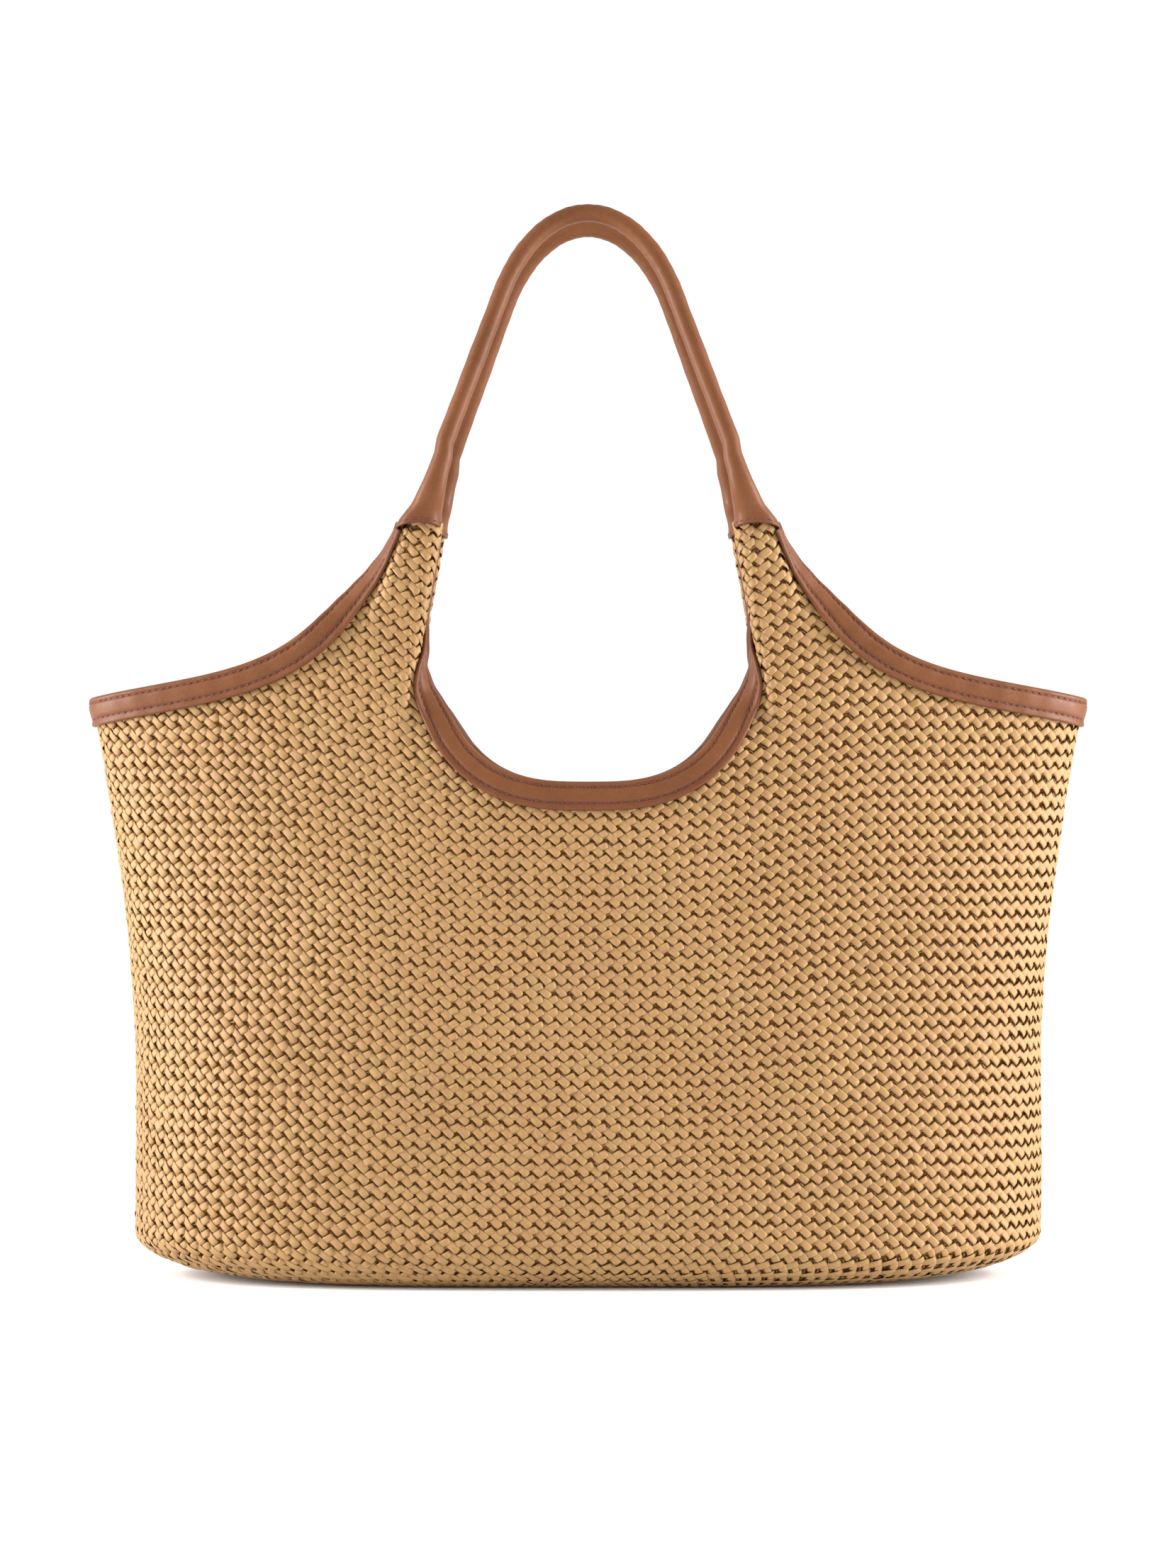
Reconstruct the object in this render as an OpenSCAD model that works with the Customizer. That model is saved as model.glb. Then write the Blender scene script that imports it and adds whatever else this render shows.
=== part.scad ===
// Straw beach bag with a lined body, leather bindings and two rolled handles.
// +Z is up, the front faces -Y, and the origin is under the middle of the base.

/* [Body] */
// Half width of the body near the base
body_half_w = 243; // [220:1:270]
// How far each side leans out between the base and the corners of the rim
rim_flare = 23; // [5:1:30]
// Half depth of the body at the base
base_half_d = 82; // [70:1:95]
// Half depth of the body at the tips that carry the handles
tip_half_d = 54; // [50:1:65]
// Radius of the edge that runs round the base
base_edge_r = 24; // [16:1:30]
// How far that edge rounds in at the two ends of the base
base_end_in = 75; // [24:1:90]
// Thickness of the raffia wall
straw_t = 4; // [3:0.1:5]
// Thickness of the lining cloth
lining_t = 1; // [0.6:0.1:1.2]

/* [Rim] */
// Height of the rim at the two side corners
corner_h = 305; // [295:1:320]
// Height of the rim at the lowest point of the dips
dip_h = 261; // [250:1:272]
// Height of the four tips
tip_h = 402; // [394:1:412]
// Half width of a dip, measured along the cloth
dip_half_w = 78; // [72:1:82]
// Distance from the middle to the outer edge of a tip, along the cloth
tip_out_w = 109; // [105:1:114]
// Width of the leather bindings
binding_w = 14; // [12:0.5:15]
// Thickness of the binding leather
binding_t = 1.3; // [1:0.1:1.6]

/* [Handles] */
// Height of the top of the handles when upright, to the middle of the tube
handle_h = 566; // [550:1:590]
// Radius of the arc at the top of a handle
handle_arc_r = 40; // [36:1:44]
// Lean of the legs of a handle away from upright
leg_lean = 20; // [18:1:22]
// Lean of each handle towards the other when the bag stands
handle_lean = 8; // [0:1:10]
// Radius of the rolled tube
tube_r = 4.8; // [4.4:0.1:5.2]
// Radius of the rope core
core_r = 3.2; // [2.8:0.1:3.3]
// Height of the sewn end tabs
tab_h = 22; // [18:1:26]
// Width of the sewn end tabs
tab_w = 22; // [18:1:24]

/* [Fittings] */
// Thickness of the base board
board_t = 2.5; // [2:0.1:3]
// Height of the magnetic snap
snap_h = 227; // [222:1:230]
// Radius of the leather patches of the snap
patch_r = 16; // [13:1:17]
// Length of the zip tape
zip_l = 170; // [150:1:180]
// Height of the zip
zip_h = 200; // [195:1:205]

/* [Hidden] */
straw = [0.83, 0.68, 0.45];
leather = [0.60, 0.36, 0.22];
lining_cloth = [0.38, 0.22, 0.13];
brass = [0.78, 0.62, 0.34];
rope = [0.90, 0.86, 0.76];

layer_gap = 0.3;          // between the raffia, the lining and the base layers
base_margin = 0.9;        // between the lower edge of the wall and the base layers
binding_gap = 1;          // between the wall and the leaves of a binding
fold_r = 7;               // radius of the two folds that curl each tip
dip_round_h = 60;         // height of the rounded part of a dip
rim_fall = 33;            // distance over which the rim falls away from a tip
rim_bow = 9;              // how far the rim bows up between a tip and a corner
seam_angle = 89.8;        // angle round the plan at which front and back panels meet
wall_t = straw_t + layer_gap + lining_t;
tip_mid_w = 89.2;         // from the middle to the crest of a tip
flare_start = 120;
fine = 48;

// Smooth step from 0 at lo to 1 at hi
function ramp(z, lo, hi) =
    let(t = min(1, max(0, (z - lo) / (hi - lo))))
    t * t * (3 - 2 * t);
function unit(v) = v / norm(v);

// --- The body surface -------------------------------------------------------------------
// A point on it has an angle round the plan (-90 left seam, 0 front middle, 90 right seam,
// 180 back middle) and a height m along the cloth, which runs under the base edge below
// base_edge_r.
cloth_low = base_edge_r * (1 - PI / 2);
function edge_turn(m) = (m - cloth_low) / base_edge_r * 180 / PI;
function height(m) = m >= base_edge_r ? m : base_edge_r * (1 - cos(edge_turn(m)));
function inset(m) = m >= base_edge_r ? 0 : base_edge_r * (1 - sin(edge_turn(m)));
function end_inset(m) = inset(m) * base_end_in / base_edge_r;

function half_w(m) =
    let(t = (m - flare_start) / (corner_h - flare_start))
    body_half_w + rim_flare * pow(min(1, max(0, t)), 1.6);
function half_d(m) = tip_half_d + (base_half_d - tip_half_d) * (1 - ramp(m, 60, 374));
function squareness(m) = 4 - 2 * ramp(m, 30, 280);

// The tips curl round two upright folds: one beside the dip, one beside the outer edge
function inner_fold(m) = 88.5 + 0.23 * (tip_h - m);
function outer_fold(m) = 90.5 + 0.36 * (tip_h - m);
function curl(x, line, turn, side) =
    let(past = side * (x - line))
    let(a = min(turn, past / fold_r * 180 / PI))
    let(rest = past - fold_r * a * PI / 180)
    [line + side * (fold_r * sin(a) + rest * cos(a)), fold_r * (1 - cos(a)) + rest * sin(a)];
function curled(x, m) =
    x < inner_fold(m) ? curl(x, inner_fold(m), 80 * ramp(m, 290, 352), -1) :
    x > outer_fold(m) ? curl(x, outer_fold(m), 80 * ramp(m, 339, 399), 1) : [x, 0];

function wall(angle, m) =
    let(w = half_w(m))
    let(d = half_d(m))
    let(c = curled(abs(sin(angle)) * w, m))
    let(plan_y = sqrt(max(0, 1 - pow(c[0] / w, squareness(m)))))
    [sign(sin(angle)) * c[0] * (w - end_inset(m)) / w,
        -sign(cos(angle)) * ((d - inset(m)) * plan_y - c[1]), height(m)];

// The point a depth o inside that surface
function across(angle, m) = wall(angle + 0.6, m) - wall(angle - 0.6, m);
function up(angle, m) = wall(angle, m + 0.5) - wall(angle, m - 0.5);
function inside(angle, m, o) = wall(angle, m) - o * unit(cross(across(angle, m), up(angle, m)));

// --- The rim ----------------------------------------------------------------------------
function rim_x(x) = asin(min(1, x / half_w(corner_h)));
dip_turns = [0 : 15 : 90];
dip_angles = [for (t = dip_turns) rim_x(dip_half_w * pow(sin(t), 2 / 3))];
dip_heights = [for (t = dip_turns) dip_h + dip_round_h * (1 - cos(t))];
// Above its rounded part each side of a dip runs up to the tip, fanning out by a hair
fan = 0.1;
wall_steps = 5;
dip_side = [for (i = [1 : wall_steps])
    [rim_x(dip_half_w + fan * i),
        dip_h + dip_round_h + (tip_h - dip_h - dip_round_h) * i / wall_steps]];
tip_angles = [for (x = [dip_half_w + 5 : 5 : tip_out_w - 2]) rim_x(x)];
side_steps = 10;
side_from = rim_x(tip_out_w);
side_angles = [for (i = [0 : side_steps])
    side_from + (seam_angle - side_from) * pow(i / side_steps, 1.5)];
function side_height(angle) =
    let(x = half_w(corner_h) * abs(sin(angle)))
    let(t = (x - tip_out_w) / (half_w(corner_h) - tip_out_w))
    corner_h + rim_bow * (1 - pow(t, 3)) +
        (tip_h - corner_h - rim_bow) * exp((tip_out_w - x) / rim_fall);

// Angle and rim height of each column of cloth, from the front middle to the right seam
half_columns = concat(
    [for (i = [0 : len(dip_angles) - 1]) [dip_angles[i], dip_heights[i]]],
    dip_side,
    [for (a = tip_angles) [a, tip_h]],
    [for (a = side_angles) [a, side_height(a)]]);
function mirrored(columns) = concat(
    [for (i = [len(columns) - 1 : -1 : 1]) [-columns[i][0], columns[i][1]]], columns);

// --- Solids from rings of points --------------------------------------------------------
// Each ring goes up one side of a section and back down the other, so that point i faces
// point n - 1 - i across it. The two sides are cut into triangles the same way, and so are
// the two halves of the row of rings.
module skin(rings) {
    n = len(rings[0]);
    last = len(rings) - 1;
    points = [for (r = rings) each r];
    sides = [for (k = [0 : last - 1]) for (i = [0 : n - 1])
        let(a = k * n + i)
        let(b = k * n + (i + 1) % n)
        each (i < n / 2) == (k >= last / 2) ? [[a, b, b + n], [a, b + n, a + n]] :
            [[a, b, a + n], [b, b + n, a + n]]];
    half = n / 2 - 2;
    ends = [for (i = [0 : half])
        let(j = n - 1 - i)
        each [[i, j, i + 1], [i + 1, j, j - 1]]];
    first_end = [for (f = ends) f];
    last_end = [for (f = ends) [f[2] + last * n, f[1] + last * n, f[0] + last * n]];
    polyhedron(points = points, faces = concat(sides, first_end, last_end), convexity = 12);
}

// A layer of the wall between the depths outer and inner
edge_rows = 3;
rows = 13;
function row(top, k) =
    k <= edge_rows ? cloth_low + (base_edge_r - cloth_low) * k / edge_rows :
    base_edge_r + (top - base_edge_r) * pow((k - edge_rows) / (rows - edge_rows), 0.7);
module wall_layer(outer, inner) {
    skin([for (c = mirrored(half_columns)) concat(
        [for (k = [0 : rows]) inside(c[0], row(c[1], k), outer)],
        [for (k = [rows : -1 : 0]) inside(c[0], row(c[1], k), inner)])]);
}
module at_back() {
    rotate([0, 0, 180]) children();
}

// The flat outline of the base, a little inside the lower edge of the wall
module base_layer(low, thickness, margin) {
    w = body_half_w - base_end_in - margin;
    d = base_half_d - base_edge_r - margin;
    power = squareness(0);
    translate([0, 0, low])
        linear_extrude(thickness)
            polygon([for (a = [0 : 5 : 355])
                [w * sin(a), -sign(cos(a)) * d * sqrt(max(0, 1 - pow(abs(sin(a)), power)))]]);
}

module front_panel() {
    color(straw) wall_layer(0, straw_t);
}
module back_panel() {
    color(straw) at_back() wall_layer(0, straw_t);
}
module front_lining() {
    color(lining_cloth) wall_layer(straw_t + layer_gap, wall_t);
}
module back_lining() {
    color(lining_cloth) at_back() wall_layer(straw_t + layer_gap, wall_t);
}
module base_panel() {
    color(straw) base_layer(0, straw_t, base_margin);
}
module base_board() {
    color("tan") base_layer(straw_t + layer_gap, board_t, 2 * base_margin);
}
module base_lining() {
    color(lining_cloth)
        base_layer(straw_t + board_t + 2 * layer_gap, lining_t, 2 * base_margin);
}

// --- Bindings ---------------------------------------------------------------------------
// A binding is a leather strip folded over the rim. Its section is given as pairs: the
// distance from the rim into the panel, and the depth inside the outer surface.
leaf_steps = 5;
leaf = [for (i = [leaf_steps : -1 : 0]) 0.5 + (binding_w - 0.5) * i / leaf_steps];
fold_out = -2.2;
fold_in = fold_out + binding_t;
leaf_in = wall_t + binding_gap;
binding_section = concat(
    [for (w = leaf) [w, -binding_gap - binding_t]],
    [[fold_out, -binding_gap - binding_t], [fold_out, leaf_in + binding_t]],
    [for (i = [leaf_steps : -1 : 0]) [leaf[i], leaf_in + binding_t]],
    [for (w = leaf) [w, leaf_in]],
    [[fold_in, leaf_in], [fold_in, -binding_gap]],
    [for (i = [leaf_steps : -1 : 0]) [leaf[i], -binding_gap]]);

// Millimetres along the cloth for each degree round the plan
function reach(angle, m) = norm(across(angle, m)) / 1.2;
// Directions along and away from a rim line given as a list of angles and heights
function rim_along(line, i) =
    let(a = line[max(0, i - 1)])
    let(b = line[min(len(line) - 1, i + 1)])
    unit([(b[0] - a[0]) * reach(line[i][0], line[i][1]), b[1] - a[1]]);
function rim_point(line, i, w, o) =
    let(t = rim_along(line, i))
    let(c = line[i])
    inside(c[0] + w * t[1] / reach(c[0], c[1]), c[1] - w * t[0], o);
module binding(line) {
    skin([for (i = [0 : len(line) - 1])
        [for (s = binding_section) rim_point(line, i, s[0], s[1])]]);
}

// The dip, from the left tip down and up to the right tip
dip_line = mirrored(concat(
    [for (i = [0 : len(dip_angles) - 1]) [dip_angles[i], dip_heights[i]]], dip_side));
// The side, from the front tip round the corner to the back tip
side_half = [for (a = side_angles) [a, side_height(a)]];
side_line = concat(side_half,
    [for (i = [len(side_half) - 2 : -1 : 0]) [180 - side_half[i][0], side_half[i][1]]]);

module right_rim_binding() {
    color(leather) binding(side_line);
}
module left_rim_binding() {
    color(leather) at_back() binding(side_line);
}
module front_dip_binding() {
    color(leather) binding(dip_line);
}
module back_dip_binding() {
    color(leather) at_back() binding(dip_line);
}

// --- Handles ----------------------------------------------------------------------------
// The tabs lie on the crest of the tips, and each handle turns about the front of its tabs
tab_t = 2.6;
tab_gap = 2.6;
crest_y = abs(wall(rim_x(tip_mid_w), tip_h)[1]);
tab_back_y = crest_y + tab_gap;
pivot_y = tab_back_y + tab_t;
tab_top = tip_h + 16;
pivot_z = tab_top + 0.6;
leg_low = pivot_z + 0.6;
leg_y = tab_back_y + tab_t / 2;
arc_z = handle_h - handle_arc_r;
arc_half = 90 - leg_lean;
arc_end = [handle_arc_r * sin(arc_half), arc_z + handle_arc_r * cos(arc_half)];
leg_reach = (arc_end[1] - leg_low) / cos(leg_lean);
leg_foot_x = arc_end[0] + (arc_end[1] - leg_low) * tan(leg_lean);
tab_x = leg_foot_x + 4;
neck = 25;                // length over which a leg goes from flat strap to round tube
strap_r = 8;              // half width of the flat strap

// Middle of a leg at a distance s above its foot, and the arc at an angle a from the top
function leg_point(s) = [leg_foot_x - s * sin(leg_lean), leg_low + s * cos(leg_lean)];
function arc_point(a) = [handle_arc_r * sin(a), arc_z + handle_arc_r * cos(a)];
// Ring round the handle: c is its middle, turn the lean of the handle there, and the two
// radii are taken in the handle's plane and across it
function ring(c, turn, r_in, r_cross, angles) =
    [for (a = angles) [c[0] + r_in * cos(a) * sin(turn), -leg_y + r_cross * sin(a),
        c[1] + r_in * cos(a) * cos(turn)]];
// The two edges of the rolled strip meet along the inner side of the handle
slit = 4;
strip_angles = [for (i = [0 : 9]) 180 + slit + i * (360 - 2 * slit) / 9];
back_angles = [for (i = [9 : -1 : 0]) strip_angles[i]];
bore_r = core_r + layer_gap;
function strip_ring(c, turn) = concat(
    ring(c, turn, tube_r, tube_r, strip_angles), ring(c, turn, bore_r, bore_r, back_angles));
full_angles = [for (i = [0 : 9]) 36 * i];
arc_turns = [for (i = [-7 : 7]) i * arc_half / 7];

// A neck is a flat strap at its foot, and its round top plugs the end of the rolled strip
neck_r = tube_r - 0.2;
plug_l = 2;
function neck_ring(s) =
    let(t = ramp(s, 0, neck))
    ring(leg_point(s), 90 - leg_lean * t, strap_r + (neck_r - strap_r) * t,
        tab_t / 2 + (neck_r - tab_t / 2) * t, full_angles);
module right_neck() {
    skin(concat([neck_ring(neck + plug_l)], [for (i = [4 : -1 : 0]) neck_ring(neck * i / 4)]));
}
module leaned() {
    translate([0, -pivot_y, pivot_z])
        rotate([-handle_lean, 0, 0])
            translate([0, pivot_y, -pivot_z])
                children();
}
// The sleeve is the rolled strip between the two necks
module front_handle_sleeve() {
    foot = leg_point(neck);
    color(leather) leaned() {
        skin(concat(
            [strip_ring([-foot[0], foot[1]], -arc_half)],
            [for (a = arc_turns) strip_ring(arc_point(a), a)],
            [strip_ring(foot, arc_half)]));
        right_neck();
        mirror([1, 0, 0]) right_neck();
    }
}
module back_handle_sleeve() {
    at_back() front_handle_sleeve();
}
module front_handle_core() {
    foot = leg_point(neck + plug_l + 1);
    color(rope) leaned()
        skin(concat(
            [ring([-foot[0], foot[1]], -arc_half, core_r, core_r, full_angles)],
            [for (a = arc_turns) ring(arc_point(a), a, core_r, core_r, full_angles)],
            [ring(foot, arc_half, core_r, core_r, full_angles)]));
}
module back_handle_core() {
    at_back() front_handle_core();
}

// A tab is a flat leather plate with rounded lower corners
module tab(x, side) {
    corner = 4;
    color(leather)
        rotate([0, 0, side])
            translate([x, -tab_back_y, tab_top - tab_h])
                rotate([90, 0, 0])
                    linear_extrude(tab_t)
                        union() {
                            translate([-tab_w / 2, corner])
                                square([tab_w, tab_h - corner]);
                            translate([-tab_w / 2 + corner, 0])
                                square([tab_w - 2 * corner, corner + 1]);
                            for (k = [-1, 1])
                                translate([k * (tab_w / 2 - corner), corner])
                                    circle(corner, $fn = fine);
                        }
}
module front_left_tab() {
    tab(-tab_x, 0);
}
module front_right_tab() {
    tab(tab_x, 0);
}
module back_left_tab() {
    tab(tab_x, 180);
}
module back_right_tab() {
    tab(-tab_x, 180);
}

// --- Magnetic snap ----------------------------------------------------------------------
// Local Z points into the bag from the lining at the middle of the front
patch_t = 1.2;
disc_r = 9;
disc_t = 2.4;
stud_r = 3;
stud_l = 1.6;
socket_r = 3.4;
socket_t = 3.4;
module at_snap() {
    slope = atan((half_d(snap_h - 10) - half_d(snap_h + 10)) / 20);
    translate([0, -half_d(snap_h) + (wall_t + 0.5) / cos(slope), snap_h])
        rotate([-90 - slope, 0, 0])
            children();
}
module front_snap_patch() {
    color(leather) at_snap() cylinder(h = patch_t, r = patch_r, $fn = 64);
}
module front_snap_stud() {
    color(brass) at_snap() translate([0, 0, patch_t]) {
        cylinder(h = disc_t, r = disc_r, $fn = fine);
        cylinder(h = disc_t + stud_l, r = stud_r, $fn = fine);
    }
}
module back_snap_patch() {
    at_back() front_snap_patch();
}
module back_snap_socket() {
    color(brass) at_back() at_snap() translate([0, 0, patch_t])
        difference() {
            cylinder(h = socket_t, r = disc_r, $fn = fine);
            translate([0, 0, socket_t - stud_l - layer_gap])
                cylinder(h = socket_t, r = socket_r, $fn = fine);
        }
}

// --- Inner pocket and its zip -----------------------------------------------------------
pocket_low = 70;
pocket_out = wall_t + 1;
zip_w = 26;
zip_t = 0.8;
coil_w = 4;
coil_t = 1.4;
coil_end = 6;
zip_back_gap = 3.4;
pocket_steps = 6;
pocket_high = zip_h - zip_w / 2 - 2;
pocket_angle = asin(zip_l / 2 / body_half_w);
module pocket_panel() {
    color(lining_cloth) at_back()
        skin([for (i = [-pocket_steps : pocket_steps])
            let(a = pocket_angle * i / pocket_steps)
            concat(
                [for (k = [0 : 4]) inside(a, pocket_low + (pocket_high - pocket_low) * k / 4,
                    pocket_out)],
                [for (k = [4 : -1 : 0]) inside(a, pocket_low + (pocket_high - pocket_low) * k / 4,
                    pocket_out + lining_t)])]);
}

// Local X runs along the zip, local Z up the wall and local -Y into the bag
zip_slope = atan((half_d(zip_h - 10) - half_d(zip_h + 10)) / 20);
zip_y = half_d(zip_h) - wall_t - zip_back_gap - zip_t;
module at_zip() {
    translate([0, zip_y, zip_h]) rotate([zip_slope, 0, 0]) children();
}
module block(low, high) {
    translate(low) cube(high - low);
}
module zip_tape() {
    color(lining_cloth) at_zip()
        block([-zip_l / 2, 0, -zip_w / 2], [zip_l / 2, zip_t, zip_w / 2]);
}
module zip_coil() {
    color(brass) at_zip()
        block([-zip_l / 2 + coil_end, -coil_t, -coil_w / 2],
            [zip_l / 2 - coil_end, 0, coil_w / 2]);
}

slider_l = 11;
slider_w = 9;
slider_low = 0.4;
slider_high = 4.2;
slider_x = zip_l / 2 - coil_end - slider_l;
lug_half = 3;
lug_w = 1.2;
pin_y = -5.8;
pin_r = 0.6;
pin_clear = 0.08;
module zip_slider() {
    color(brass) at_zip() translate([slider_x, 0, 0])
        difference() {
            union() {
                block([-slider_l / 2, -slider_high, -slider_w / 2],
                    [slider_l / 2, -slider_low, slider_w / 2]);
                block([-lug_half, pin_y, -lug_w], [lug_half / 2, -slider_high, lug_w]);
                translate([0, pin_y, -lug_w])
                    cylinder(h = 2 * lug_w, r = lug_half / 2, $fn = fine);
            }
            block([-slider_l, -coil_t - layer_gap, -coil_w / 2 - layer_gap],
                [slider_l, 0, coil_w / 2 + layer_gap]);
            translate([0, pin_y, -slider_w])
                cylinder(h = 2 * slider_w, r = pin_r + pin_clear, $fn = fine);
        }
}
// The pull turns about a pin through the lug
pull_l = 24;
pull_t = 1.2;
pull_w = 7;
fork_l = 6;
fork_low = lug_w + layer_gap;
fork_high = pull_w / 2;
module zip_pull() {
    color(brass) at_zip() translate([slider_x, pin_y, 0])
        difference() {
            union() {
                block([-pull_t, -pull_t / 2, -fork_high], [pull_l, pull_t / 2, fork_high]);
                translate([0, 0, -fork_low]) cylinder(h = 2 * fork_low, r = pin_r, $fn = fine);
            }
            difference() {
                block([-2 * pull_t, -pull_t, -fork_low], [fork_l, pull_t, fork_low]);
                translate([0, 0, -fork_high]) cylinder(h = pull_w, r = pin_r, $fn = fine);
            }
            translate([pull_l - 4, pull_t, 0])
                rotate([90, 0, 0])
                    cylinder(h = 2 * pull_t, r = 1.6, $fn = fine);
        }
}

front_panel();
back_panel();
base_panel();
front_lining();
back_lining();
base_lining();
base_board();
left_rim_binding();
right_rim_binding();
front_dip_binding();
back_dip_binding();
front_handle_sleeve();
back_handle_sleeve();
front_handle_core();
back_handle_core();
front_left_tab();
front_right_tab();
back_left_tab();
back_right_tab();
front_snap_patch();
front_snap_stud();
back_snap_patch();
back_snap_socket();
pocket_panel();
zip_tape();
zip_coil();
zip_slider();
zip_pull();
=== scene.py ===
import math

import bpy
import numpy as np
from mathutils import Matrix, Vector


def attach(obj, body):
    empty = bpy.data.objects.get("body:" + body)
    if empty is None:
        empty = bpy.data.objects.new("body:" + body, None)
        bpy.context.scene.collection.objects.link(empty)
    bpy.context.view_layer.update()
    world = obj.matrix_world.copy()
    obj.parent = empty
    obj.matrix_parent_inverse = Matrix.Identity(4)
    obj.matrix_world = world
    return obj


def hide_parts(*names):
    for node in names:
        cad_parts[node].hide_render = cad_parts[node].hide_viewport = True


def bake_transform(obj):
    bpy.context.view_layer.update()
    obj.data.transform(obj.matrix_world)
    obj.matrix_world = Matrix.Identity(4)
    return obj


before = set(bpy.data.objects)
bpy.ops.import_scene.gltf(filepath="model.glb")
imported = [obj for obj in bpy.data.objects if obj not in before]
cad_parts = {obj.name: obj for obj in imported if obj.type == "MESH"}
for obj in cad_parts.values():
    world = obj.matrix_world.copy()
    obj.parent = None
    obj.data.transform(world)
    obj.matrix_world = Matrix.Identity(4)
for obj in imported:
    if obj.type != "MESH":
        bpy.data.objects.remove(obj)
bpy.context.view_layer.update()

# --- Sizes of the bag, in millimetres ---------------------------------------------------
MM = 0.001
BODY_W = 243.0  # half the width of the body, and how much wider it is at the side corners
RIM_FLARE = 23.0
RIM_W = BODY_W + RIM_FLARE
FLARE_START = 120.0
FLARE_POWER = 1.6
BASE_D = 82.0  # half the depth low down and at the tips, and the heights it falls between
TIP_D = 54.0
DEPTH_SPAN = (60, 374)
SQUARE_BASE = 4  # power of the plan's superellipse low down and above SQUARE_SPAN
SQUARE_TOP = 2
SQUARE_SPAN = (30, 280)
EDGE_R = 24.0  # radius of the lower edge, and the height along the cloth where it begins
EDGE_LOW = EDGE_R * (1 - math.pi / 2)
BASE_END = 75.0  # how far in the flat base stops at each end
WALL_T = 5.3  # depth from which the snap, the pocket and the zip are set off
SIDE_SLACK = 0.6  # share of the slack that also pushes the cloth sideways

CORNER_H = 305.0  # the rim: heights of the side corners, the dip and the tips
DIP_H = 261.0
TIP_H = 402.0
DIP_ROUND = 60.0  # height and shape of the dip's rounded bottom
DIP_POWER = 1.5
DIP_W = 78.0  # half the width of the dip, and the outer ends of the tips
TIP_OUT = 109.0
RIM_FALL = 33.0  # how fast the rim falls beside a tip, and its bow towards the corner
RIM_BOW = 9.0
SIDE_TOP = 401.0  # the side bindings end inside the cuffs, which reach down past this

FOLD_R = 7.0  # the straw beside a tip's two edges turns back round this radius
INNER_FOLD = (81.8, 0.18)  # x of the fold at the tip, and how much further out lower down
INNER_TURN = math.radians(122)
INNER_SPAN = (283, 352)
OUTER_FOLD = (90.5, 0.36)
OUTER_TURN = math.radians(80)
OUTER_SPAN = (339, 399)
FLANGE_W = 31.0  # width of the cloth turned back beside the dip, at the tip
FLANGE_SPAN = (312, 358)
BACK_OUT = 2.3  # the insides of the back tips stand this much further apart
BACK_SPAN = (290, 340)
BACK_FADE = (86, 98)

# Waves of the cloth: size, waves round the plan, turn for each millimetre up, and start
SLACK_WAVES = (
    (0.6, 3, 0.021, 0.6), (0.5, 5, -0.033, 2.1), (0.35, 9, 0.045, 4.0), (0.3, 14, -0.06, 1.0),
)
CREASE_WAVES = (
    (0.5, 23, 0.05, 0), (0.45, 37, -0.04, 1.3), (0.35, 11, 0.11, 0.5), (0.3, 53, 0.02, 2.2),
)


# --- The surface of the body ------------------------------------------------------------
# A point on it has an angle round the plan (-90 left seam, 0 front middle, 90 right seam,
# 180 back middle) and a height m along the cloth. Both are arrays.
def ramp(z, lo, hi):
    t = np.clip((z - lo) / (hi - lo), 0, 1)
    return t * t * (3 - 2 * t)


def edge_turn(m):
    return (m - EDGE_LOW) / EDGE_R


def height(m):
    return np.where(m >= EDGE_R, m, EDGE_R * (1 - np.cos(edge_turn(m))))


def inset(m):
    return np.where(m >= EDGE_R, 0, EDGE_R * (1 - np.sin(edge_turn(m))))


def half_w(m):
    t = np.clip((m - FLARE_START) / (CORNER_H - FLARE_START), 0, 1)
    return BODY_W + RIM_FLARE * t**FLARE_POWER


def half_d(m):
    return TIP_D + (BASE_D - TIP_D) * (1 - ramp(m, *DEPTH_SPAN))


def squareness(m):
    return SQUARE_BASE - (SQUARE_BASE - SQUARE_TOP) * ramp(m, *SQUARE_SPAN)


def fold_line(fold, m):
    return fold[0] + fold[1] * (TIP_H - m)


def flange_stretch(m):
    """How much wider the cloth beside a dip is than its share of the plan: it is FLANGE_W
    wide at the tip, so that it turns right back there and takes the binding out of sight."""
    plain = fold_line(INNER_FOLD, m) - DIP_W
    return 1 + (FLANGE_W / plain - 1) * ramp(m, *FLANGE_SPAN)


def curl(x, line, turn, side):
    """How far out and how far in a point x goes when the cloth past a line turns back."""
    past = np.maximum(side * (x - line), 0)
    a = np.minimum(turn, past / FOLD_R)
    rest = past - FOLD_R * a
    return (
        np.where(past > 0, line + side * (FOLD_R * np.sin(a) + rest * np.cos(a)), x),
        FOLD_R * (1 - np.cos(a)) + rest * np.sin(a),
    )


def curled(x, m):
    line = fold_line(INNER_FOLD, m)
    out = line - (line - x) * flange_stretch(m)
    x1, y1 = curl(out, line, INNER_TURN * ramp(m, *INNER_SPAN), -1)
    x2, y2 = curl(x, fold_line(OUTER_FOLD, m), OUTER_TURN * ramp(m, *OUTER_SPAN), 1)
    inner = x < line
    return np.where(inner, x1, x2), np.where(inner, y1, y2)


def waves(table, a, m):
    return sum(size * np.sin(count * a + climb * m + start) for size, count, climb, start in table)


def slack(angle, m):
    """Soft bulges and hollows of the cloth, in millimetres, none at the rim and the base."""
    return waves(SLACK_WAVES, np.radians(angle), m) * ramp(m, 0, 60) * (1 - ramp(m, 235, 290))


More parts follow.
